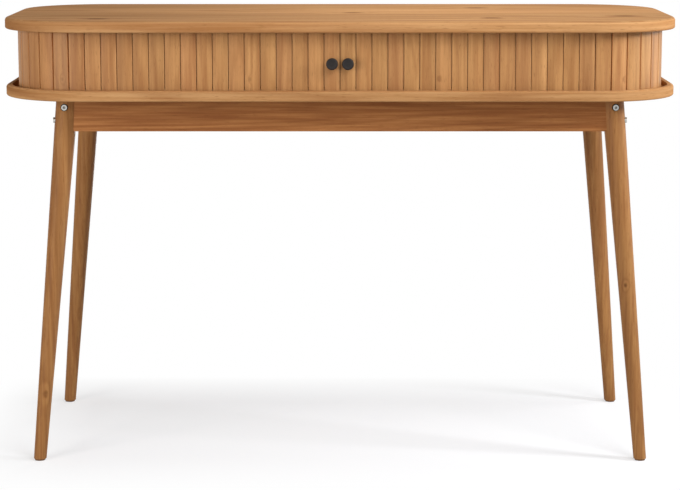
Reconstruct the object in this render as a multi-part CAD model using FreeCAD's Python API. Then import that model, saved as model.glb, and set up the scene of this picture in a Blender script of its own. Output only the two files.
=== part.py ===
# Tambour desk: a shallow case with two slatted doors that run round its corners, on four splayed legs.
# Millimetres. The origin is on the floor under the middle, +Z is up and the doors face -Y.
import FreeCAD, Part
import math
import os

from FreeCAD import Vector

# Whole desk
overall_width = 1200.0
overall_depth = 500.0
overall_height = 790.0
corner_radius = 148.0

# Top and base boards, with the clear height of the case between them
top_thickness = 20.0
top_upper_radius = 6.0
top_lower_radius = 3.0
base_thickness = 19.0
base_upper_radius = 5.0
base_lower_radius = 3.0
clear_height = 100.5

# Channel for the slat ends: a lip outside, room for the bend inside
lip_thickness = 11.0
base_channel_depth = 10.0
top_channel_depth = 6.0
channel_back_room = 10.0

# Door slats. The slats of one door reach from the middle to the end of the corner.
slat_count = 23
slat_inset = 22.0
slat_thickness = 7.0
slat_gap = 1.2
slat_front_chamfer = 0.8
slat_back_chamfer = 0.5
slat_foot_clearance = 0.3
slat_head_clearance = 0.7
tail_clearance = 1.0
least_stop_run = 5.0

# Canvas glued behind the slats
canvas_thickness = 0.6
canvas_clearance = 0.05
canvas_margin = 5.0

# Knobs and their screws
knob_diameter = 20.5
knob_head_length = 10.0
knob_edge_radius = 2.5
knob_neck_diameter = 11.0
knob_neck_length = 7.0
knob_height_share = 0.46
knob_screw_diameter = 4.0
knob_screw_head_diameter = 8.0
knob_screw_head_length = 2.4
knob_screw_reach = 12.0

# Case panels and dowels
panel_setback = 1.0
end_panel_thickness = 12.0
back_panel_thickness = 12.0
dowel_diameter = 8.0
dowel_length = 24.0
end_dowel_shares = (0.15, 0.85)
back_dowel_shares = (-0.85, 0.0, 0.85)

# Legs, measured where their axis meets the base board and the floor
leg_top_diameter = 39.5
leg_foot_diameter = 22.6
leg_inset_x = 118.0
leg_inset_y = 70.0
leg_splay_x = 58.0
leg_splay_y = 33.0
glide_thickness = 3.0
glide_margin = 2.0

# Aprons, placed from the axis of the legs
apron_height = 58.0
apron_thickness = 20.0
apron_face_offset = 13.5
apron_end_offset = 8.0

# Connecting bolts, washers and barrel nuts
bolt_diameter = 6.0
bolt_head_diameter = 10.0
bolt_head_length = 6.0
bolt_socket_width = 5.0
bolt_socket_depth = 3.5
bolt_tail = 4.0
bolt_seat_offset = 14.5
bolt_seat_diameter = 13.5
upper_bolt_drop = 15.0
lower_bolt_drop = 39.0
washer_diameter = 12.5
washer_thickness = 1.2
nut_diameter = 10.0
nut_length = 15.0
nut_setback = 28.0

# Cleats inside the front and rear aprons, with their screws
cleat_width = 20.0
cleat_height = 20.0
cleat_end_gap = 45.0
cleat_screw_shares = (-0.9, -0.3, 0.3, 0.9)
cleat_screw_diameter = 4.5
cleat_screw_head_diameter = 9.0
cleat_screw_reach = 11.0

# Fits: radial clearance of what is pressed or screwed in, radial clearance of a bolt's hole
tight_clearance = 0.05
bolt_clearance = 0.3
cut_overrun = 2.0

# Heights
top_under = overall_height - top_thickness
base_top = top_under - clear_height
base_under = base_top - base_thickness
slat_low = base_top - base_channel_depth + slat_foot_clearance
slat_high = top_under + top_channel_depth - slat_head_clearance
knob_height = base_top + knob_height_share * clear_height
apron_low = base_under - apron_height

# Door run along the back of the slats: straight front, bend, straight side
bend_start = overall_width / 2 - corner_radius
bend_centre = Vector(bend_start, corner_radius - overall_depth / 2, 0)
track_inset = slat_inset + slat_thickness
track_radius = corner_radius - track_inset
bend_length = track_radius * math.pi / 2
side_length = overall_depth - 2 * corner_radius
slat_pitch = (bend_start + bend_length) / slat_count
travel_slats = int((side_length - least_stop_run) / slat_pitch)
door_travel = travel_slats * slat_pitch
stop_y = bend_centre.y + door_travel + tail_clearance
straight_slats = int(bend_start / slat_pitch) - travel_slats

# Plan insets from the board edge
channel_inner_inset = track_inset + channel_back_room
end_panel_inset = channel_inner_inset + panel_setback
face_y = slat_inset - overall_depth / 2
back_y = track_inset - overall_depth / 2

# Frame places, as distances from the middle
leg_top_x = overall_width / 2 - leg_inset_x
leg_top_y = overall_depth / 2 - leg_inset_y
side_apron_outer = leg_top_x + apron_face_offset
side_apron_inner = side_apron_outer - apron_thickness
long_apron_outer = leg_top_y + apron_face_offset
long_apron_inner = long_apron_outer - apron_thickness
long_apron_end = leg_top_x - apron_end_offset
side_apron_end = leg_top_y - apron_end_offset

parts = {}


def plan_face(inset):
    # Outline of the boards, moved in from their edge
    radius = corner_radius - inset
    reach_x = bend_start
    reach_y = overall_depth / 2 - corner_radius
    corners = ((1, -1), (1, 1), (-1, 1), (-1, -1))
    arcs = []
    for turn, (side, end) in enumerate(corners):
        centre = Vector(side * reach_x, end * reach_y, 0)
        points = []
        for step in range(3):
            angle = math.pi / 4 * (2 * turn - 2 + step)
            points.append(centre + Vector(math.cos(angle), math.sin(angle), 0) * radius)
        arcs.append(points)
    edges = []
    for points, following in zip(arcs, arcs[1:] + arcs[:1]):
        edges.append(Part.Arc(*points).toShape())
        edges.append(Part.LineSegment(points[-1], following[0]).toShape())
    return Part.Face(Part.Wire(edges))


def polygon_face(points):
    return Part.Face(Part.makePolygon(points + points[:1]))


def prism(face, low, high):
    lifted = face.copy()
    lifted.translate(Vector(0, 0, low))
    return lifted.extrude(Vector(0, 0, high - low))


def ring(outer_inset, inner_inset, low, high):
    return prism(plan_face(outer_inset), low, high).cut(prism(plan_face(inner_inset), low, high))


def block(x_ends, y_ends, low, high):
    x_low, x_high = sorted(x_ends)
    y_low, y_high = sorted(y_ends)
    size = Vector(x_high, y_high, high) - Vector(x_low, y_low, low)
    return Part.makeBox(size.x, size.y, size.z, Vector(x_low, y_low, low))


def rod(start, end, diameter):
    run = end - start
    return Part.makeCylinder(diameter / 2, run.Length, start, run)


def mirrored(shape):
    return shape.mirror(Vector(0, 0, 0), Vector(1, 0, 0))


def cut_all(shape, tools):
    return shape.cut(Part.makeCompound(tools))


def track_point(run):
    # Place on the back line of the right-hand slats, a given run from the middle of the front
    if run <= bend_start:
        return Vector(run, back_y, 0)
    angle = (run - bend_start) / track_radius
    if run <= bend_start + bend_length:
        return bend_centre + Vector(math.sin(angle), -math.cos(angle), 0) * track_radius
    return Vector(bend_centre.x + track_radius, bend_centre.y + run - bend_start - bend_length, 0)


def outward(start, end):
    # Direction square to a stretch of the run, away from the case
    along = (end - start).normalize()
    return Vector(along.y, -along.x, 0)


def board(low, high, low_radius, high_radius):
    shape = prism(plan_face(0), low, high)
    for level, radius in ((low, low_radius), (high, high_radius)):
        rim = []
        for edge in shape.Edges:
            if max(abs(edge.BoundBox.ZMin - level), abs(edge.BoundBox.ZMax - level)) < radius / 2:
                rim.append(edge)
        shape = shape.makeFillet(radius, rim)
    return shape


def channel(low, high):
    # Groove round the front and sides, as far as the stop
    run = block((-overall_width, overall_width), (-overall_depth, stop_y), low, high)
    return ring(lip_thickness, channel_inner_inset, low, high).common(run)


def slat(index):
    start = track_point(index * slat_pitch)
    end = track_point((index + 1) * slat_pitch)
    along = (end - start).normalize()
    out = outward(start, end)
    half = (slat_pitch - slat_gap) / 2
    profile = (
        (half - slat_back_chamfer, 0),
        (half, slat_back_chamfer),
        (half, slat_thickness - slat_front_chamfer),
        (half - slat_front_chamfer, slat_thickness),
    )
    middle = (start + end) / 2
    points = [middle + along * across + out * depth for across, depth in profile]
    points += [middle - along * across + out * depth for across, depth in reversed(profile)]
    return prism(polygon_face(points), slat_low, slat_high)


def knob_axis(depth):
    # Point on the axis of the right-hand knob, in the middle of the first slat
    return Vector(slat_pitch / 2, depth, knob_height)


def knob_screw(clearance):
    tip = knob_axis(face_y - knob_screw_reach - clearance)
    shank = rod(knob_axis(back_y), tip, knob_screw_diameter + 2 * clearance)
    head_end = knob_axis(back_y + knob_screw_head_length)
    head = rod(knob_axis(back_y), head_end, knob_screw_head_diameter + 2 * clearance)
    return shank.fuse(head).removeSplitter()


def knob():
    neck_end = knob_axis(face_y - knob_neck_length)
    head_end = knob_axis(face_y - knob_neck_length - knob_head_length)
    head = rod(neck_end, head_end, knob_diameter)
    head = head.makeFillet(knob_edge_radius, [edge for edge in head.Edges if edge.isClosed()])
    return rod(knob_axis(face_y), neck_end, knob_neck_diameter).fuse(head).cut(knob_screw(tight_clearance))


def canvas():
    # One flat stretch behind each slat, ending with the first and last slat
    spots = [track_point(index * slat_pitch) for index in range(slat_count + 1)]
    faces = [outward(start, end) for start, end in zip(spots, spots[1:])]
    spots[0] += (spots[1] - spots[0]).normalize() * slat_gap / 2
    spots[-1] += (spots[-2] - spots[-1]).normalize() * slat_gap / 2
    near = []
    far = []
    for spot, before, after in zip(spots, faces[:1] + faces, faces + faces[-1:]):
        inward = -(before + after).normalize()
        near.append(spot + inward * canvas_clearance)
        far.append(spot + inward * (canvas_clearance + canvas_thickness))
    sheet = prism(polygon_face(near + far[::-1]), base_top + canvas_margin, top_under - canvas_margin)
    return sheet.cut(knob_screw(tight_clearance))


def build_doors():
    slats = [slat(index) for index in range(slat_count)]
    pieces = {
        "lead_slat": slats[0].cut(knob_screw(tight_clearance)),
        "front_slats": Part.makeCompound(slats[1:straight_slats]),
        "knob": knob(),
        "knob_screw": knob_screw(0),
        "canvas": canvas(),
    }
    for index in range(straight_slats, slat_count):
        pieces["slat_%02d" % (index + 1)] = slats[index]
    for name, shape in pieces.items():
        parts["right_" + name] = shape
        parts["left_" + name] = mirrored(shape)


def dowel(place, level, clearance):
    reach = Vector(0, 0, dowel_length / 2 + clearance)
    middle = Vector(place.x, place.y, level)
    return rod(middle - reach, middle + reach, dowel_diameter + 2 * clearance)


def build_case():
    bend_end_y = -bend_centre.y
    end_region = block((bend_start, overall_width), (-overall_depth, bend_end_y), base_top, top_under)
    end_panel_inner = end_panel_inset + end_panel_thickness
    end_panel = ring(end_panel_inset, end_panel_inner, base_top, top_under).common(end_region)
    rear_region = block((bend_start, overall_width), (stop_y, overall_depth), base_top, top_under)
    rear_corner = ring(slat_inset, end_panel_inset, base_top, top_under).common(rear_region)
    rear_face = overall_depth / 2 - slat_inset
    back_span = (rear_face - back_panel_thickness, rear_face)
    back_panel = block((-bend_start, bend_start), back_span, base_top, top_under)

    end_x = overall_width / 2 - end_panel_inset - end_panel_thickness / 2
    corner_reach = (corner_radius - (slat_inset + end_panel_inset) / 2) * math.sin(math.pi / 4)
    side_places = [Vector(end_x, bend_centre.y + share * side_length, 0) for share in end_dowel_shares]
    side_places.append(Vector(bend_start + corner_reach, bend_end_y + corner_reach, 0))
    places = side_places + [Vector(-place.x, place.y, 0) for place in side_places]
    places += [Vector(share * bend_start, sum(back_span) / 2, 0) for share in back_dowel_shares]
    spots = [(place, level) for place in places for level in (base_top, top_under)]
    parts["dowels"] = Part.makeCompound([dowel(place, level, 0) for place, level in spots])
    holes = [dowel(place, level, tight_clearance) for place, level in spots]

    parts["right_end_panel"] = cut_all(end_panel, holes)
    parts["left_end_panel"] = cut_all(mirrored(end_panel), holes)
    parts["right_rear_corner"] = cut_all(rear_corner, holes)
    parts["left_rear_corner"] = cut_all(mirrored(rear_corner), holes)
    parts["back_panel"] = cut_all(back_panel, holes)

    top_groove = channel(top_under, top_under + top_channel_depth)
    top = board(top_under, overall_height, top_lower_radius, top_upper_radius).cut(top_groove)
    parts["top_board"] = cut_all(top, holes)
    base_groove = channel(base_top - base_channel_depth, base_top)
    pilot_holes = [cleat_screw(place, tight_clearance) for place in cleat_screw_places()]
    base = board(base_under, base_top, base_lower_radius, base_upper_radius).cut(base_groove)
    parts["base_board"] = cut_all(base, holes + pilot_holes)


def cleat_screw_places():
    half_length = side_apron_inner - cleat_end_gap
    row = long_apron_inner - cleat_width / 2
    return [Vector(share * half_length, end * row, 0) for end in (-1, 1) for share in cleat_screw_shares]


def cleat_screw(place, clearance):
    # Countersunk screw, driven upwards from the underside of the cleat
    low = Vector(place.x, place.y, base_under - cleat_height)
    high = Vector(place.x, place.y, base_under + cleat_screw_reach + clearance)
    radius = cleat_screw_diameter / 2 + clearance
    head_radius = cleat_screw_head_diameter / 2 + clearance
    head = Part.makeCone(head_radius, radius, head_radius - radius, low)
    return rod(low, high, 2 * radius).fuse(head).removeSplitter()


def leg_axis(side, end, height):
    # Place of a leg's axis at a height: side is -1 on the left, end is -1 at the front
    drop_share = (base_under - height) / base_under
    reach_x = leg_top_x + leg_splay_x * drop_share
    reach_y = leg_top_y + leg_splay_y * drop_share
    return Vector(side * reach_x, end * reach_y, height)


def leg_blank(side, end):
    foot = leg_axis(side, end, 0)
    head = leg_axis(side, end, base_under)
    run = head - foot
    taper = (leg_top_diameter - leg_foot_diameter) / 2 / run.Length
    spare = leg_top_diameter
    direction = Vector(run).normalize()
    low_radius = leg_foot_diameter / 2 - taper * spare
    high_radius = leg_top_diameter / 2 + taper * spare
    start = foot - direction * spare
    cone = Part.makeCone(low_radius, high_radius, run.Length + 2 * spare, start, direction)
    slab = block((0, side * overall_width), (0, end * overall_depth), glide_thickness, base_under)
    return cone.common(slab)


def leg_bolts(side, end):
    # Seat, direction into the apron, reach to the nut and nut direction of a leg's two bolts
    side_apron_x = side * (side_apron_inner + side_apron_outer) / 2
    long_apron_y = end * (long_apron_inner + long_apron_outer) / 2
    upper = leg_axis(side, end, base_under - upper_bolt_drop)
    upper_seat = Vector(side_apron_x, upper.y + end * bolt_seat_offset, upper.z)
    upper_reach = abs(upper_seat.y) - side_apron_end + nut_setback
    lower = leg_axis(side, end, base_under - lower_bolt_drop)
    lower_seat = Vector(lower.x + side * bolt_seat_offset, long_apron_y, lower.z)
    lower_reach = abs(lower_seat.x) - long_apron_end + nut_setback
    return (
        (upper_seat, Vector(0, -end, 0), upper_reach, Vector(side, 0, 0)),
        (lower_seat, Vector(-side, 0, 0), lower_reach, Vector(0, end, 0)),
    )


def connecting_bolt(seat, inward, reach):
    shoulder = seat - inward * washer_thickness
    crown = shoulder - inward * bolt_head_length
    tip = seat + inward * (reach + nut_diameter / 2 + bolt_tail)
    socket_radius = bolt_socket_width / 2 / math.cos(math.pi / 6)
    across = Vector(0, 0, 1)
    beside = across.cross(inward)
    rim = []
    for step in range(6):
        angle = math.pi / 3 * step
        rim.append(crown + (across * math.cos(angle) + beside * math.sin(angle)) * socket_radius)
    socket = polygon_face(rim).extrude(inward * bolt_socket_depth)
    shape = rod(shoulder, tip, bolt_diameter).fuse(rod(shoulder, crown, bolt_head_diameter))
    return shape.removeSplitter().cut(socket)


def bolt_hole(seat, inward, reach):
    tip = seat + inward * (reach + nut_diameter / 2 + bolt_tail + bolt_clearance)
    return rod(seat - inward * cut_overrun, tip, bolt_diameter + 2 * bolt_clearance)


def bolt_recess(seat, inward):
    return rod(seat, seat - inward * leg_top_diameter, bolt_seat_diameter)


def washer(seat, inward):
    disc = rod(seat, seat - inward * washer_thickness, washer_diameter)
    return disc.cut(rod(seat, seat - inward * washer_thickness, bolt_diameter + 2 * bolt_clearance))


def barrel_nut(seat, inward, reach, across):
    # Nut across the bolt, in the middle of the apron's thickness
    middle = seat + inward * reach
    half = across * nut_length / 2
    bore = rod(seat, middle + inward * nut_diameter, bolt_diameter + 2 * tight_clearance)
    return rod(middle - half, middle + half, nut_diameter).cut(bore)


def nut_pocket(seat, inward, reach, across):
    # Blind hole for the nut, open at the inner face of the apron
    middle = seat + inward * reach
    mouth = middle - across * (apron_thickness / 2 + cut_overrun)
    bottom = middle + across * (nut_length / 2 + tight_clearance)
    return rod(mouth, bottom, nut_diameter + 2 * tight_clearance)


def build_frame():
    sides = {"left": -1, "right": 1}
    ends = {"front": -1, "rear": 1}
    aprons = {}
    for name, side in sides.items():
        x_ends = (side * side_apron_inner, side * side_apron_outer)
        aprons[name + "_apron"] = block(x_ends, (-side_apron_end, side_apron_end), apron_low, base_under)
    for name, end in ends.items():
        y_ends = (end * long_apron_inner, end * long_apron_outer)
        aprons[name + "_apron"] = block((-long_apron_end, long_apron_end), y_ends, apron_low, base_under)

    bolts = []
    washers = []
    nuts = []
    drillings = []
    glides = []
    for end_name, end in ends.items():
        for side_name, side in sides.items():
            leg_cuts = list(aprons.values())
            for seat, inward, reach, across in leg_bolts(side, end):
                bolts.append(connecting_bolt(seat, inward, reach))
                washers.append(washer(seat, inward))
                drilled = bolt_hole(seat, inward, reach)
                nuts.append(barrel_nut(seat, inward, reach, across))
                drillings += [drilled, nut_pocket(seat, inward, reach, across)]
                leg_cuts += [drilled, bolt_recess(seat, inward)]
            parts["%s_%s_leg" % (end_name, side_name)] = cut_all(leg_blank(side, end), leg_cuts)
            foot = leg_axis(side, end, 0)
            glide_diameter = leg_foot_diameter - 2 * glide_margin
            glides.append(rod(foot, foot + Vector(0, 0, glide_thickness), glide_diameter))
    for name, shape in aprons.items():
        parts[name] = cut_all(shape, drillings)
    parts["leg_bolts"] = Part.makeCompound(bolts)
    parts["leg_washers"] = Part.makeCompound(washers)
    parts["barrel_nuts"] = Part.makeCompound(nuts)
    parts["foot_glides"] = Part.makeCompound(glides)

    places = cleat_screw_places()
    holes = [cleat_screw(place, tight_clearance) for place in places]
    half_length = side_apron_inner - cleat_end_gap
    cleats = []
    for end in ends.values():
        y_ends = (end * (long_apron_inner - cleat_width), end * long_apron_inner)
        strip = block((-half_length, half_length), y_ends, base_under - cleat_height, base_under)
        cleats.append(cut_all(strip, holes))
    parts["cleats"] = Part.makeCompound(cleats)
    parts["cleat_screws"] = Part.makeCompound([cleat_screw(place, 0) for place in places])


build_doors()
build_case()
build_frame()

os.makedirs("parts", exist_ok=True)
for name, shape in parts.items():
    shape.exportStep("parts/%s.step" % name)
    print(name, len(shape.Solids), shape.isValid(), round(shape.Volume))
print("nodes", len(parts), "slat pitch", round(slat_pitch, 3), "door travel", round(door_travel, 3))
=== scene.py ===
import bpy
import math
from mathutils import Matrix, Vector


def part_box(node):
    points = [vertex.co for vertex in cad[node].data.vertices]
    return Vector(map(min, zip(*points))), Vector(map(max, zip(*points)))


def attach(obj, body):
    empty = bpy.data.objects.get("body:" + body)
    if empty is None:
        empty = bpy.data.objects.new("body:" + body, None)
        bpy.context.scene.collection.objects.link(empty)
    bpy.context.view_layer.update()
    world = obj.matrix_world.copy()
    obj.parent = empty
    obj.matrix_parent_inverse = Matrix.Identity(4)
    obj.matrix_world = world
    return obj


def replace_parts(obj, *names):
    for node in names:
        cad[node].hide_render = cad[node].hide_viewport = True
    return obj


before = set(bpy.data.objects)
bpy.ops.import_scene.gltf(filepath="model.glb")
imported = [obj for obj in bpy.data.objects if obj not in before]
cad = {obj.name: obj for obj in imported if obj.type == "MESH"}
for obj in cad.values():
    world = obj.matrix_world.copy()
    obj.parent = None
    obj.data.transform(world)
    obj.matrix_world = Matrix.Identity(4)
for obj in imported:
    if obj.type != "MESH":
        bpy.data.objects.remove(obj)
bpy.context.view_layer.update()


# selection helpers
def clearSelection():
    if bpy.context.mode != "OBJECT":
        bpy.ops.object.mode_set(mode="OBJECT")
    bpy.ops.object.select_all(action="DESELECT")


def pickPiece(piece):
    clearSelection()
    piece.select_set(True)
    bpy.context.view_layer.objects.active = piece


def emptyPick(kind):
    bpy.ops.object.mode_set(mode="EDIT")
    bpy.ops.mesh.select_mode(type=kind)
    bpy.ops.mesh.select_all(action="DESELECT")
    bpy.ops.object.mode_set(mode="OBJECT")


def pickFaces(piece, wanted):
    emptyPick("FACE")
    for face in piece.data.polygons:
        face.select = wanted(face)
    bpy.ops.object.mode_set(mode="EDIT")


def pickEdges(piece, wanted):
    emptyPick("EDGE")
    points = piece.data.vertices
    for edge in piece.data.edges:
        edge.select = wanted(*(points[end].co for end in edge.vertices))
    bpy.ops.object.mode_set(mode="EDIT")


def copyPiece(master, name):
    pickPiece(master)
    bpy.ops.object.duplicate()
    piece = bpy.context.object
    piece.name = name
    return piece


def setDown(piece, spot, angle):
    # turns a copy about the upright, moves it to its place and puts that place in its mesh
    pickPiece(piece)
    piece.rotation_euler = (0, 0, angle)
    piece.location = spot
    bpy.ops.object.transform_apply(location=True, rotation=True, scale=True)


def removePiece(piece):
    pickPiece(piece)
    bpy.ops.object.delete()


# node helpers
def srgb(red, green, blue):
    # a screen colour as the linear one that a shader takes
    tones = []
    for part in (red, green, blue):
        part /= 255
        tones.append(part / 12.92 if part <= 0.04045 else ((part + 0.055) / 1.055) ** 2.4)
    return (*tones, 1)


def newMaterial(name):
    material = bpy.data.materials.new(name)
    material.use_nodes = True
    tree = material.node_tree
    tree.nodes.clear()
    output = tree.nodes.new("ShaderNodeOutputMaterial")
    shader = tree.nodes.new("ShaderNodeBsdfPrincipled")
    tree.links.new(shader.outputs["BSDF"], output.inputs["Surface"])
    return material, tree, shader


def addNode(tree, kind, inputs=None, **settings):
    item = tree.nodes.new(kind)
    for key, value in settings.items():
        setattr(item, key, value)
    for key, value in (inputs or {}).items():
        if isinstance(value, bpy.types.NodeSocket):
            tree.links.new(value, item.inputs[key])
        else:
            item.inputs[key].default_value = value
    return item


def sums(tree, operation, *values):
    return addNode(tree, "ShaderNodeMath", dict(enumerate(values)), operation=operation).outputs[0]


def vectors(tree, operation, *values):
    item = addNode(tree, "ShaderNodeVectorMath", dict(enumerate(values)), operation=operation)
    return item.outputs["Value" if operation == "LENGTH" else "Vector"]


def noise(tree, inputs):
    space = "4D" if "W" in inputs else "3D"
    return addNode(tree, "ShaderNodeTexNoise", inputs, noise_dimensions=space).outputs


def spread(tree, value, low, high, newLow, newHigh):
    inputs = {"Value": value, "From Min": low, "From Max": high, "To Min": newLow, "To Max": newHigh}
    return addNode(tree, "ShaderNodeMapRange", inputs).outputs["Result"]


# sockets of a blend: 2 and 3 take numbers, 4 and 5 places, 6 and 7 colours
def blendNumbers(tree, amount, first, second):
    return addNode(tree, "ShaderNodeMix", {0: amount, 2: first, 3: second}, data_type="FLOAT").outputs[0]


def blendPlaces(tree, amount, first, second):
    return addNode(tree, "ShaderNodeMix", {0: amount, 4: first, 5: second}, data_type="VECTOR").outputs[1]


def blendTones(tree, amount, first, second):
    return addNode(tree, "ShaderNodeMix", {0: amount, 6: first, 7: second}, data_type="RGBA").outputs[2]


def stain(tree, tone, mask, share, colour):
    return blendTones(tree, sums(tree, "MULTIPLY", mask, share), tone, srgb(*colour))


def toneRamp(tree, value, stops):
    item = addNode(tree, "ShaderNodeValToRGB", {"Fac": value})
    marks = item.color_ramp.elements
    marks[0].position, marks[0].color = stops[0]
    marks[-1].position, marks[-1].color = stops[-1]
    for place, colour in stops[1:-1]:
        marks.new(place).color = colour
    return item.outputs["Color"]


def addBump(tree, shader, height, strength, depth):
    bump = addNode(tree, "ShaderNodeBump", {"Height": height, "Strength": strength, "Distance": depth})
    tree.links.new(bump.outputs["Normal"], shader.inputs["Normal"])


# most noise lies in this part of its range
noiseSpan = (0.3, 0.7)

# what all the woods share: fibres run further than the figure, each slat has its own tone
grainShape = {
    "fibre": 0.4, "rimTurn": (0.6, 0.75), "seedStep": 3.71,
    "figure": {"Detail": 2.5, "Roughness": 0.45, "Distortion": 0.35},
    "wobble": {"Scale": 160, "Detail": 2}, "wobbleShare": 0.5, "knotEdge": (0.55, 1.15),
    "ringPower": 2.4, "ringShare": 0.42,
    "streaks": {"Detail": 5, "Roughness": 0.62},
    "pores": {"Scale": 900, "Detail": 1.5, "Roughness": 0.5}, "poreSpan": (0.60, 0.72), "poreShare": 0.45,
    "bands": {"Detail": 4, "Roughness": 0.55},
    "slatLevel": (-0.04, 0.04), "slatHue": (0.4975, 0.5020), "hueStep": 7.3,
    "streakLift": 0.5, "bump": 0.16, "bumpDepth": 0.0004,
}

# honey-coloured wood, one look for each kind of piece
panelWood = {
    "bands": 16, "sheen": 0.15, "rough": (0.44, 0.58), "figure": 9, "rings": 16, "streaks": 210,
    "ramp": (0.40, 0.52, 0.64), "swing": (0.88, 1.10),
    "light": (178, 123, 73), "middle": (164, 110, 63), "dark": (146, 93, 51),
    "late": (127, 76, 39), "pore": (100, 60, 28),
}
woodLooks = {
    "boardWood": {
        "stretch": (0.07, 1, 1), "rimStretch": (0.07, 0.07, 1), "cut": 2.6,
        "bands": 11, "sheen": 0.04, "rough": (0.70, 0.82), "figure": 7.5, "rings": 15, "streaks": 120,
        "ramp": (0.36, 0.52, 0.68), "swing": (0.78, 1.18),
        "light": (195, 153, 106), "middle": (182, 138, 92), "dark": (165, 119, 74),
        "late": (144, 96, 57), "pore": (114, 75, 41),
        "knots": {"length": 1.6, "turns": 1.3, "fall": 0.3, "shade": 0.9, "spots": [
            ((-0.425, -0.175, 0.79), 0.016), ((0.027, -0.01, 0.79), 0.014), ((0.262, 0.13, 0.79), 0.016),
            ((0.272, -0.15, 0.79), 0.013), ((0.515, -0.10, 0.79), 0.016)]},
    },
    "longPanelWood": {"stretch": (0.07, 1, 1), **panelWood},
    "crossPanelWood": {"stretch": (1, 0.07, 1), **panelWood},
    "uprightPanelWood": {
        "stretch": (1, 1, 0.07),
        "bands": 16, "sheen": 0.25, "rough": (0.44, 0.58), "figure": 8, "rings": 14, "streaks": 120,
        "ramp": (0.35, 0.52, 0.69), "swing": (0.88, 1.1),
        "light": (189, 136, 84), "middle": (174, 123, 74), "dark": (156, 104, 59),
        "late": (136, 85, 46), "pore": (107, 66, 32),
    },
    "slatWood": {
        "stretch": (1, 1, 0.09),
        "bands": 30, "sheen": 0.25, "rough": (0.42, 0.56), "figure": 22, "rings": 6, "streaks": 170,
        "ramp": (0.32, 0.52, 0.72), "swing": (0.88, 1.09),
        "light": (194, 146, 94), "middle": (179, 131, 82), "dark": (161, 112, 67),
        # the sawn sides' pale tone is partly the wood's own and partly painted light for the shaded gaps
        "late": (144, 95, 54), "pore": (116, 74, 42), "paleSideGapLight": (205, 150, 98),
        "knots": {"length": 1.5, "turns": 1.1, "fall": 0.5, "shade": 0.5, "spots": [
            ((-0.485, -0.224, 0.689), 0.0036), ((-0.156, -0.228, 0.689), 0.0034),
            ((0.174, -0.228, 0.690), 0.0036), ((0.498, -0.221, 0.688), 0.0033)]},
    },
    "legWood": {
        "stretch": (1, 1, 0.05),
        "bands": 55, "sheen": 0.12, "rough": (0.40, 0.54), "figure": 20, "rings": 6, "streaks": 210,
        "ramp": (0.34, 0.52, 0.70), "swing": (0.92, 1.07),
        "light": (170, 125, 76), "middle": (158, 113, 67), "dark": (140, 94, 55),
        "late": (123, 79, 44), "pore": (97, 60, 31),
        "knots": {"length": 1.6, "turns": 1.4, "fall": 0.4, "shade": 0.75, "spots": [
            ((-0.524, -0.223, 0.125), 0.0065), ((-0.510, 0.185, 0.18), 0.0065),
            ((0.509, -0.209, 0.32), 0.0034)]},
    },
    "dowelWood": {
        "stretch": (1, 1, 0.06),
        "bands": 60, "sheen": 0.25, "rough": (0.55, 0.66), "figure": 30, "rings": 4, "streaks": 260,
        "ramp": (0.35, 0.52, 0.69), "swing": (0.9, 1.08),
        "light": (226, 196, 156), "middle": (215, 182, 140), "dark": (200, 164, 120),
        "late": (186, 148, 106), "pore": (160, 122, 84),
    },
}


def layGrain(tree, look, where):
    # places for the figure and for the fibres, both drawn out along the wood
    def scaled(parts):
        inputs = {"Vector": where["Object"], "Scale": parts}
        return addNode(tree, "ShaderNodeMapping", inputs).outputs["Vector"]

    def stretched(parts):
        longer = [grainShape["fibre"] * part if part < 1 else part for part in parts]
        return scaled(parts), scaled(longer)

    grain, fibre = stretched(look["stretch"])
    if "rimStretch" in look:  # on the rim the grain runs round the board
        facing = addNode(tree, "ShaderNodeSeparateXYZ", {0: where["Normal"]}).outputs["Z"]
        flat = spread(tree, sums(tree, "ABSOLUTE", facing), *grainShape["rimTurn"], 0, 1)
        rimGrain, rimFibre = stretched(look["rimStretch"])
        grain = blendPlaces(tree, flat, rimGrain, grain)
        fibre = blendPlaces(tree, flat, rimFibre, fibre)
    return grain, fibre


def addKnots(tree, look, place, phase):
    # more rings round each knot, and a mask of the knots' dark middles
    knots = look["knots"]
    wobble = noise(tree, {"Vector": place, **grainShape["wobble"]})["Color"]
    mask = None
    for centre, radius in knots["spots"]:
        gap = vectors(tree, "SUBTRACT", place, centre)
        gap = vectors(tree, "MULTIPLY_ADD", wobble, (radius * grainShape["wobbleShare"],) * 3, gap)
        reach = [1 / (radius * (knots["length"] if part < 1 else 1)) for part in look["stretch"]]
        away = vectors(tree, "LENGTH", vectors(tree, "MULTIPLY", gap, reach))
        fall = sums(tree, "MULTIPLY", sums(tree, "MULTIPLY", away, away), -knots["fall"])
        more = sums(tree, "MULTIPLY", sums(tree, "EXPONENT", fall), knots["turns"])
        phase = sums(tree, "ADD", phase, more)
        spot = spread(tree, away, *grainShape["knotEdge"], 1, 0)
        mask = spot if mask is None else sums(tree, "MAXIMUM", mask, spot)
    return phase, mask


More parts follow.
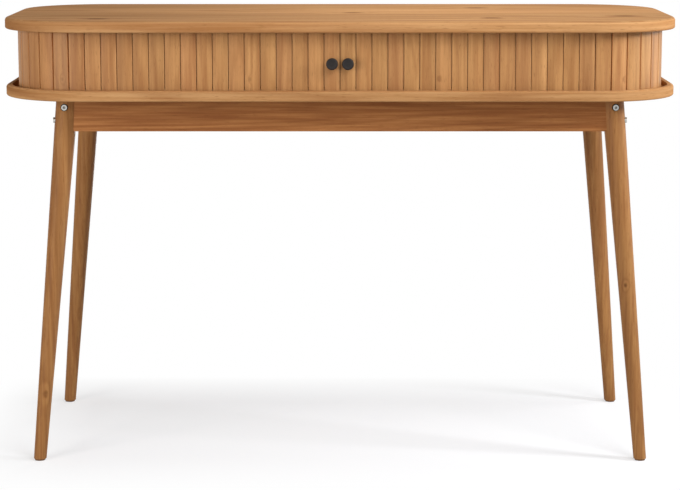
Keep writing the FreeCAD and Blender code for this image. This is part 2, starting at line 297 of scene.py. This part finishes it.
def makeWood(name, look):
    material, tree, shader = newMaterial(name)
    where = addNode(tree, "ShaderNodeTexCoord").outputs
    grain, fibre = layGrain(tree, look, where)
    seed = addNode(tree, "ShaderNodeAttribute", attribute_name="slatSeed").outputs["Fac"]
    offset = sums(tree, "MULTIPLY_ADD", seed, grainShape["seedStep"], look.get("cut", 0))

    # growth rings as contour lines of a slow figure, drawn closer round the knots
    slow = {"Vector": grain, "W": offset, "Scale": look["figure"], **grainShape["figure"]}
    phase = sums(tree, "MULTIPLY", noise(tree, slow)["Fac"], look["rings"])
    if "knots" in look:
        phase, knotMask = addKnots(tree, look, where["Object"], phase)
    wave = sums(tree, "SINE", sums(tree, "MULTIPLY", phase, 2 * math.pi))
    rings = sums(tree, "POWER", spread(tree, wave, -1, 1, 0, 1), grainShape["ringPower"])

    # long streaks, broad bands and short dark pores
    thin = {"Vector": fibre, "W": offset, "Scale": look["streaks"], **grainShape["streaks"]}
    streaks = noise(tree, thin)["Fac"]
    specks = noise(tree, {"Vector": grain, "W": offset, **grainShape["pores"]})["Fac"]
    pores = spread(tree, specks, *grainShape["poreSpan"], 0, 1)
    wide = {"Vector": fibre, "W": offset, "Scale": look["bands"], **grainShape["bands"]}
    bands = noise(tree, wide)["Fac"]

    stops = zip(look["ramp"], ("dark", "middle", "light"))
    tone = toneRamp(tree, streaks, [(stop, srgb(*look[key])) for stop, key in stops])
    tone = stain(tree, tone, rings, grainShape["ringShare"], look["late"])
    tone = stain(tree, tone, pores, grainShape["poreShare"], look["pore"])
    if "knots" in look:
        tone = stain(tree, tone, knotMask, look["knots"]["shade"], look["pore"])

    # each slat a little lighter or darker, redder or yellower than the next
    chance = addNode(tree, "ShaderNodeTexWhiteNoise", {"W": seed}, noise_dimensions="1D").outputs["Value"]
    level = sums(tree, "ADD", spread(tree, bands, *noiseSpan, *look["swing"]),
                 spread(tree, chance, 0, 1, *grainShape["slatLevel"]))
    other = sums(tree, "FRACT", sums(tree, "MULTIPLY", chance, grainShape["hueStep"]))
    warmth = spread(tree, other, 0, 1, *grainShape["slatHue"])
    shift = {"Hue": warmth, "Value": level, "Color": tone}
    tint = addNode(tree, "ShaderNodeHueSaturation", shift).outputs["Color"]
    if "paleSideGapLight" in look:  # sawn sides, paler than the oiled front; the pale tone is also painted light that lifts the shade in the gaps between slats
        side = addNode(tree, "ShaderNodeAttribute", attribute_name="slatEdge").outputs["Fac"]
        tint = blendTones(tree, side, tint, srgb(*look["paleSideGapLight"]))
    tree.links.new(tint, shader.inputs["Base Color"])
    shader.inputs["Specular IOR Level"].default_value = look["sheen"]
    tree.links.new(spread(tree, streaks, *noiseSpan, *look["rough"]), shader.inputs["Roughness"])
    height = sums(tree, "SUBTRACT", sums(tree, "MULTIPLY", streaks, grainShape["streakLift"]), pores)
    addBump(tree, shader, height, grainShape["bump"], grainShape["bumpDepth"])
    return material


woods = {name: makeWood(name, look) for name, look in woodLooks.items()}
print("woods:", len(woods))

# plain finishes, and what they share: fine specks, and painted shade in the sockets of the metal ones
finishes = {
    "zincSteel": {"colour": (188, 188, 184), "metal": 1.0, "sheen": 0.5,
                  "rough": (0.24, 0.40), "scale": 900, "bump": 0.05},
    # near-black washers: painted shade for the dark recess ring round each bolt head
    "paintedShadeSteel": {"colour": (24, 21, 19), "metal": 1.0, "sheen": 0.5,
                  "rough": (0.35, 0.5), "scale": 900, "bump": 0.05},
    "blackPowder": {"colour": (27, 23, 22), "metal": 0.0, "sheen": 0.26,
                    "rough": (0.42, 0.56), "scale": 1600, "bump": 0.10},
    "glideBrown": {"colour": (112, 78, 50), "metal": 0.0, "sheen": 0.4,
                   "rough": (0.60, 0.75), "scale": 700, "bump": 0.12},
}
finishGrain = {
    "specks": {"Detail": 3, "Roughness": 0.6}, "swing": (0.86, 1.10), "bumpDepth": 0.0002,
    "hollowReach": 0.004, "hollowRays": 8, "hollowSpan": (0.25, 0.8),
    # colour and strength of the painted shade in the metal's hollows
    "paintedShade": (40, 36, 32), "paintedShadeShare": 0.9,
}


def makeFinish(name, look):
    material, tree, shader = newMaterial(name)
    place = addNode(tree, "ShaderNodeTexCoord").outputs["Object"]
    speck = noise(tree, {"Vector": place, "Scale": look["scale"], **finishGrain["specks"]})["Fac"]
    colour = Vector(srgb(*look["colour"])[:3])
    stops = zip(noiseSpan, finishGrain["swing"])
    tone = toneRamp(tree, speck, [(stop, (*(colour * swing), 1)) for stop, swing in stops])
    if look["metal"]:  # painted shade in the sockets and round the heads, darker where the hollows are deep
        hollow = addNode(tree, "ShaderNodeAmbientOcclusion", {"Distance": finishGrain["hollowReach"]},
                         samples=finishGrain["hollowRays"]).outputs["AO"]
        paintedShade = spread(tree, hollow, *finishGrain["hollowSpan"], finishGrain["paintedShadeShare"], 0)
        tone = blendTones(tree, paintedShade, tone, srgb(*finishGrain["paintedShade"]))
    tree.links.new(tone, shader.inputs["Base Color"])
    tree.links.new(spread(tree, speck, *noiseSpan, *look["rough"]), shader.inputs["Roughness"])
    shader.inputs["Metallic"].default_value = look["metal"]
    shader.inputs["Specular IOR Level"].default_value = look["sheen"]
    addBump(tree, shader, speck, look["bump"], finishGrain["bumpDepth"])
    return material


plain = {name: makeFinish(name, look) for name, look in finishes.items()}

# cotton canvas, a plain weave on the strips' own flat measure
canvasWeave = {
    # the light warm tone is partly the canvas's own and partly painted light that lifts the shade in the gaps
    # between slats
    "thread": 0.0009, "light": (236, 196, 150), "dark": (200, 150, 104), "toneSpan": (0.05, 0.85),
    "slub": {"Scale": 0.35, "Detail": 3}, "slubLift": (0.75, 1),
    "rough": 0.9, "bump": 0.5, "bumpDepth": 0.0003,
}


def makeCanvas():
    material, tree, shader = newMaterial("canvasWeave")
    flat = addNode(tree, "ShaderNodeUVMap", uv_map="flatMeasure").outputs["UV"]
    count = vectors(tree, "MULTIPLY", flat, (1 / canvasWeave["thread"],) * 3)
    threads = addNode(tree, "ShaderNodeSeparateXYZ", {0: count}).outputs

    def humps(run):
        wave = sums(tree, "SINE", sums(tree, "MULTIPLY", run, math.pi))
        return sums(tree, "MULTIPLY", wave, wave)

    checks = addNode(tree, "ShaderNodeTexChecker", {"Vector": count, "Scale": 1.0}).outputs["Fac"]
    over = blendNumbers(tree, checks, humps(threads["X"]), humps(threads["Y"]))
    slub = noise(tree, {"Vector": count, **canvasWeave["slub"]})["Fac"]
    lift = sums(tree, "MULTIPLY", over, spread(tree, slub, *noiseSpan, *canvasWeave["slubLift"]))
    tones = [srgb(*canvasWeave[key]) for key in ("dark", "light")]
    tone = toneRamp(tree, lift, list(zip(canvasWeave["toneSpan"], tones)))
    tree.links.new(tone, shader.inputs["Base Color"])
    shader.inputs["Roughness"].default_value = canvasWeave["rough"]
    addBump(tree, shader, lift, canvasWeave["bump"], canvasWeave["bumpDepth"])
    return material


canvasCotton = makeCanvas()
print("finishes:", sorted(plain), "and canvas")

# run of the doors along the back of the slats: straight front, then round the corner
doorRun = {"corner": 0.148, "backInset": 0.029, "slats": 23, "sliding": 9}
boardLow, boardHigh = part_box("top_board")
bendStart = boardHigh.x - doorRun["corner"]
bendCentre = Vector((bendStart, boardLow.y + doorRun["corner"], 0))
bendRadius = doorRun["corner"] - doorRun["backInset"]
slatPitch = (bendStart + bendRadius * math.pi / 2) / doorRun["slats"]
bendNumbers = range(doorRun["sliding"] + 1, doorRun["slats"] + 1)
sides = {"left": -1, "right": 1}


def runPoint(length):
    if length <= bendStart:
        return Vector((length, bendCentre.y - bendRadius, 0))
    angle = (length - bendStart) / bendRadius
    return bendCentre + Vector((math.sin(angle), -math.cos(angle), 0)) * bendRadius


def slatPlace(index, side):
    start, end = runPoint(index * slatPitch), runPoint((index + 1) * slatPitch)
    middle, step = (start + end) / 2, end - start
    return Vector((side * middle.x, middle.y, 0)), side * math.atan2(step.y, step.x)


# one slat, its front towards -Y and the middle of its back on the origin
slatShape = {
    "gap": 0.0012, "thickness": 0.007,
    "frontRound": 0.0003, "frontSteps": 3, "backRound": 0.0005, "backSteps": 2,
    "smooth": 40, "sawnFacing": 0.95, "firstSeed": {"left": 1, "right": 31},
}
slatLow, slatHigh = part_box("right_slat_15")


def modelSlat():
    clearSelection()
    wide, thick, tall = slatPitch - slatShape["gap"], slatShape["thickness"], slatHigh.z - slatLow.z
    bpy.ops.mesh.primitive_cube_add(size=1, location=(0, -thick / 2, (slatLow.z + slatHigh.z) / 2))
    slat = bpy.context.object
    slat.scale = (wide, thick, tall)
    bpy.ops.object.transform_apply(location=True, rotation=True, scale=True)
    pickEdges(slat, lambda a, b: abs(a.z - b.z) > tall / 2 and a.y < -thick / 2)
    bpy.ops.mesh.bevel(offset=slatShape["frontRound"], segments=slatShape["frontSteps"], affect="EDGES")
    pickEdges(slat, lambda a, b: abs(a.z - b.z) > tall / 2 and a.y > -thick / 4 and b.y > -thick / 4)
    bpy.ops.mesh.bevel(offset=slatShape["backRound"], segments=slatShape["backSteps"], affect="EDGES")
    bpy.ops.object.mode_set(mode="OBJECT")
    bpy.ops.object.shade_smooth_by_angle(angle=math.radians(slatShape["smooth"]))
    slat.data.materials.append(woods["slatWood"])
    # mark the sawn sides, whose pale tone is partly painted light in the shaded gaps between slats
    sawn = [float(abs(face.normal.x) > slatShape["sawnFacing"]) for face in slat.data.polygons]
    slat.data.attributes.new("slatEdge", "FLOAT", "FACE").data.foreach_set("value", sawn)
    return slat


def addSeed(piece, seed):
    marks = piece.data.attributes.new("slatSeed", "FLOAT", "POINT")
    marks.data.foreach_set("value", [float(seed)] * len(piece.data.vertices))


def joinPieces(pieces):
    clearSelection()
    for piece in pieces:
        piece.select_set(True)
    bpy.context.view_layer.objects.active = pieces[0]
    bpy.ops.object.join()
    return pieces[0]


masterSlat = modelSlat()
slatPieces = {}
for sideName, side in sides.items():
    for index in range(doorRun["slats"]):
        piece = copyPiece(masterSlat, "%s_tambour_slat_%02d" % (sideName, index + 1))
        addSeed(piece, index + slatShape["firstSeed"][sideName])
        setDown(piece, *slatPlace(index, side))
        slatPieces[sideName, index + 1] = piece
    sliding = [slatPieces.pop((sideName, number)) for number in range(2, doorRun["sliding"] + 1)]
    group = joinPieces(sliding)
    group.name = sideName + "_tambour_front"
    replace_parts(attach(group, sideName + "_door"), sideName + "_front_slats")
    for number in (1, *bendNumbers):
        piece = slatPieces[sideName, number]
        node = sideName + ("_lead_slat" if number == 1 else "_slat_%02d" % number)
        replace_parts(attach(piece, sideName + "_door" if number == 1 else node), node)
removePiece(masterSlat)
print("slats:", 2 * doorRun["slats"], "pitch", round(slatPitch * 1000, 2), "mm")

# canvas glued behind the slats: one wide strip behind the sliding ones, one strip behind each of the others
canvasCut = {"clear": 0.00005, "thickness": 0.0006, "ease": 0.0003, "cuts": 6}
canvasLow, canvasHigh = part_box("right_canvas")
stripTall = canvasHigh.z - canvasLow.z
frontWidth = doorRun["sliding"] * slatPitch - (slatShape["gap"] + canvasCut["ease"]) / 2
lastStart, lastEnd = (runPoint(number * slatPitch) for number in (doorRun["slats"] - 1, doorRun["slats"]))
bendWidth = (lastEnd - lastStart).length - canvasCut["ease"]


def modelStrip(width):
    clearSelection()
    middle = (0, canvasCut["clear"], (canvasLow.z + canvasHigh.z) / 2)
    bpy.ops.mesh.primitive_plane_add(size=1, location=middle, rotation=(math.pi / 2, 0, 0))
    strip = bpy.context.object
    strip.scale = (width, stripTall, 1)
    bpy.ops.object.transform_apply(location=True, rotation=True, scale=True)
    bpy.ops.object.mode_set(mode="EDIT")
    bpy.ops.mesh.select_all(action="SELECT")
    bpy.ops.mesh.subdivide(number_cuts=canvasCut["cuts"])
    bpy.ops.mesh.extrude_region_move(TRANSFORM_OT_translate={"value": (0, canvasCut["thickness"], 0)})
    bpy.ops.mesh.select_all(action="SELECT")
    bpy.ops.mesh.normals_make_consistent(inside=False)
    bpy.ops.object.mode_set(mode="OBJECT")
    measure = strip.data.uv_layers[0]
    measure.name = "flatMeasure"
    for loop in strip.data.loops:
        corner = strip.data.vertices[loop.vertex_index].co
        measure.data[loop.index].uv = (corner.x, corner.z)
    strip.data.materials.append(canvasCotton)
    return strip


masterFront, masterBend = modelStrip(frontWidth), modelStrip(bendWidth)
for sideName, side in sides.items():
    strip = copyPiece(masterFront, sideName + "_canvas_front")
    setDown(strip, (side * (frontWidth + slatShape["gap"]) / 2, bendCentre.y - bendRadius, 0), 0)
    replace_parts(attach(strip, sideName + "_door"), sideName + "_canvas")
    for number in bendNumbers:
        piece = slatPieces[sideName, number]
        strip = copyPiece(masterBend, "%s_canvas_%02d" % (sideName, number))
        setDown(strip, *slatPlace(number - 1, side))
        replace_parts(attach(strip, "%s_slat_%02d" % (sideName, number)), sideName + "_canvas")
removePiece(masterFront)
removePiece(masterBend)
print("canvas strips:", 2 * (len(bendNumbers) + 1))

# turned knob: neck, rounded head and a shallow dish in its face
knobTurning = {
    "neck": 0.0055, "neckLength": 0.007,
    "rimRound": 0.0022, "rimSteps": 6, "backRound": 0.0012, "backSteps": 4,
    "dish": 0.0005, "dishEdge": 0.0030, "dishSlope": 0.0012, "dishRing": 0.0025,
    "corners": 72, "smooth": 50, "frontFacing": -0.9, "near": 1e-5,
}
knobLow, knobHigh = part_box("right_knob")


def modelKnob():
    clearSelection()
    middle = (knobLow + knobHigh) / 2
    headRadius = (knobHigh.z - knobLow.z) / 2
    neckEnd = knobHigh.y - knobTurning["neckLength"]
    bpy.ops.mesh.primitive_cylinder_add(
        vertices=knobTurning["corners"], radius=knobTurning["neck"], depth=knobTurning["neckLength"],
        location=(middle.x, (knobHigh.y + neckEnd) / 2, middle.z), rotation=(math.pi / 2, 0, 0))
    knob = bpy.context.object
    bpy.ops.object.transform_apply(location=True, rotation=True, scale=True)
    pickFaces(knob, lambda face: face.normal.y < knobTurning["frontFacing"])
    grow = headRadius / knobTurning["neck"]
    bpy.ops.mesh.extrude_region_move(TRANSFORM_OT_translate={"value": (0, 0, 0)})
    bpy.ops.transform.resize(value=(grow, 1, grow), center_override=(middle.x, neckEnd, middle.z))
    bpy.ops.mesh.extrude_region_move(TRANSFORM_OT_translate={"value": (0, knobLow.y - neckEnd, 0)})
    bpy.ops.mesh.inset(thickness=knobTurning["dishEdge"], depth=0)
    bpy.ops.mesh.inset(thickness=knobTurning["dishSlope"], depth=-knobTurning["dish"])
    bpy.ops.mesh.inset(thickness=knobTurning["dishRing"], depth=0)

    def roundRing(y, size, steps):
        def onRing(point):
            out = math.hypot(point.x - middle.x, point.z - middle.z)
            return out > headRadius - knobTurning["near"] and abs(point.y - y) < knobTurning["near"]
        pickEdges(knob, lambda a, b: onRing(a) and onRing(b))
        bpy.ops.mesh.bevel(offset=size, segments=steps, affect="EDGES")

    roundRing(knobLow.y, knobTurning["rimRound"], knobTurning["rimSteps"])
    roundRing(neckEnd, knobTurning["backRound"], knobTurning["backSteps"])
    bpy.ops.object.mode_set(mode="OBJECT")
    bpy.ops.object.shade_smooth_by_angle(angle=math.radians(knobTurning["smooth"]))
    knob.data.materials.append(plain["blackPowder"])
    return knob


masterKnob = modelKnob()
for sideName in sides:
    knob = copyPiece(masterKnob, sideName + "_turned_knob")
    setDown(knob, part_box(sideName + "_knob")[0] - knobLow, 0)
    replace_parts(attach(knob, sideName + "_door"), sideName + "_knob")
removePiece(masterKnob)
print("knobs:", len(sides))

# finishes of the pieces that keep their own shape
keptFinish = {
    "boardWood": ["top_board", "base_board"],
    "longPanelWood": ["back_panel", "front_apron", "rear_apron", "cleats"],
    "crossPanelWood": ["left_apron", "right_apron"],
    "uprightPanelWood": ["left_end_panel", "right_end_panel", "left_rear_corner", "right_rear_corner"],
    "legWood": ["front_left_leg", "front_right_leg", "rear_left_leg", "rear_right_leg"],
    "dowelWood": ["dowels"],
    "zincSteel": ["leg_bolts", "barrel_nuts", "cleat_screws", "left_knob_screw", "right_knob_screw"],
    # the washers' near-black steel is painted shade for the recess round the bolt heads
    "paintedShadeSteel": ["leg_washers"],
    "glideBrown": ["foot_glides"],
}
for finishName, names in keptFinish.items():
    for name in names:
        cad[name].material_slots[0].material = woods.get(finishName) or plain[finishName]
print("kept pieces:", sum(len(names) for names in keptFinish.values()))

# white studio: pale floor with a faint shadow, soft light from the upper right, warm light from the left
warmWhite = (1, 0.93, 0.86)
studio = {
    "floorSize": 16, "floorDrop": 0.0005, "floorBounce": 0.48, "floorTone": (1, 1.03, 1.08),
    "shadowShare": 0.62, "shadowAcross": (0.48, 0.70), "shadowDeep": (0.2, 0.42),
    "ambient": 0.16, "ambientTone": warmWhite,
    "lamps": [
        {"name": "keyLamp", "at": (1.6, -3.0, 2.6), "to": (0, -0.1, 0.6), "size": 2.0, "power": 41},
        {"name": "highLamp", "at": (1.3, -2.0, 3.2), "to": (0, -0.15, 0.65), "size": 1.4, "power": 35},
        {"name": "leftFill", "at": (-2.4, -2.6, 1.0), "to": (-0.2, -0.1, 0.6), "size": 1.6, "power": 65,
         "tone": warmWhite},
        {"name": "sideLamp", "at": (2.3, -0.75, 1.45), "to": (0, -0.1, 0.7), "size": 0.5, "power": 36.5},
        {"name": "rightLamp", "at": (2.2, 0.4, 0.9), "to": (0.5, -0.05, 0.7), "size": 0.8, "power": 8},
        {"name": "overLamp", "at": (0.17, 0, 1.36), "to": (0.17, 0, 0.79), "size": 0.5, "power": 2.35},
        {"name": "backFill", "at": (0.6, 3.0, 0.38), "to": (0, 0.1, 0.5), "size": 0.7, "power": 34},
    ],
}


def seenPlain(tree):
    # 1 where the camera, a reflection or glass looks straight at the studio
    path = addNode(tree, "ShaderNodeLightPath").outputs
    seen = sums(tree, "MAXIMUM", path["Is Camera Ray"], path["Is Glossy Ray"])
    return sums(tree, "MAXIMUM", seen, path["Is Transmission Ray"])


def buildFloor():
    clearSelection()
    bpy.ops.mesh.primitive_plane_add(size=studio["floorSize"], location=(0, 0, -studio["floorDrop"]))
    floor = bpy.context.object
    floor.name = "studio_floor"
    material = bpy.data.materials.new("studioFloor")
    material.use_nodes = True
    tree = material.node_tree
    tree.nodes.clear()
    # the shadow fades to plain white away from the desk
    place = addNode(tree, "ShaderNodeTexCoord").outputs["Object"]
    spot = addNode(tree, "ShaderNodeSeparateXYZ", {0: vectors(tree, "ABSOLUTE", place)}).outputs
    across = spread(tree, spot["X"], *studio["shadowAcross"], 1, 0)
    deep = spread(tree, spot["Y"], *studio["shadowDeep"], 1, 0)
    share = sums(tree, "MULTIPLY", sums(tree, "MULTIPLY", across, deep), studio["shadowShare"])
    tone = vectors(tree, "MULTIPLY", share, studio["floorTone"])
    shadow = addNode(tree, "ShaderNodeBsdfDiffuse", {"Color": tone}).outputs[0]
    rest = sums(tree, "SUBTRACT", 1, share)
    glow = addNode(tree, "ShaderNodeEmission", {"Color": (1, 1, 1, 1), "Strength": rest}).outputs[0]
    white = addNode(tree, "ShaderNodeAddShader", {0: shadow, 1: glow}).outputs[0]
    bounce = addNode(tree, "ShaderNodeBsdfDiffuse", {"Color": (studio["floorBounce"],) * 3 + (1,)}).outputs[0]
    both = addNode(tree, "ShaderNodeMixShader", {0: seenPlain(tree), 1: bounce, 2: white}).outputs[0]
    addNode(tree, "ShaderNodeOutputMaterial", {"Surface": both})
    floor.data.materials.append(material)


def buildWorld():
    world = bpy.data.worlds.new("studioWorld")
    bpy.context.scene.world = world
    world.use_nodes = True
    tree = world.node_tree
    tree.nodes.clear()
    faint = {"Color": (*studio["ambientTone"], 1), "Strength": studio["ambient"]}
    soft = addNode(tree, "ShaderNodeBackground", faint).outputs[0]
    white = addNode(tree, "ShaderNodeBackground", {"Color": (1, 1, 1, 1), "Strength": 1.0}).outputs[0]
    both = addNode(tree, "ShaderNodeMixShader", {0: seenPlain(tree), 1: soft, 2: white}).outputs[0]
    addNode(tree, "ShaderNodeOutputWorld", {"Surface": both})


def buildLamps():
    for lamp in studio["lamps"]:
        clearSelection()
        aim = (Vector(lamp["to"]) - Vector(lamp["at"])).to_track_quat("-Z", "Y")
        bpy.ops.object.light_add(type="AREA", location=lamp["at"], rotation=aim.to_euler())
        light = bpy.context.object
        light.name = lamp["name"]
        light.data.size = lamp["size"]
        light.data.energy = lamp["power"]
        light.data.color = lamp.get("tone", (1, 1, 1))
        light.visible_camera = False


# camera at the photo's height and angle
cameraSet = {"at": (0, -3.886, 1.0447), "down": 8.963, "sensor": 36, "lens": 111.42, "lift": -0.06}


def buildCamera():
    clearSelection()
    tilt = math.radians(90 - cameraSet["down"])
    bpy.ops.object.camera_add(location=cameraSet["at"], rotation=(tilt, 0, 0))
    camera = bpy.context.object
    camera.data.sensor_width = cameraSet["sensor"]
    camera.data.lens = cameraSet["lens"]
    camera.data.shift_y = cameraSet["lift"]
    bpy.context.scene.camera = camera


buildFloor()
buildWorld()
buildLamps()
buildCamera()
bpy.context.scene.view_settings.view_transform = "Standard"
print("studio ready")
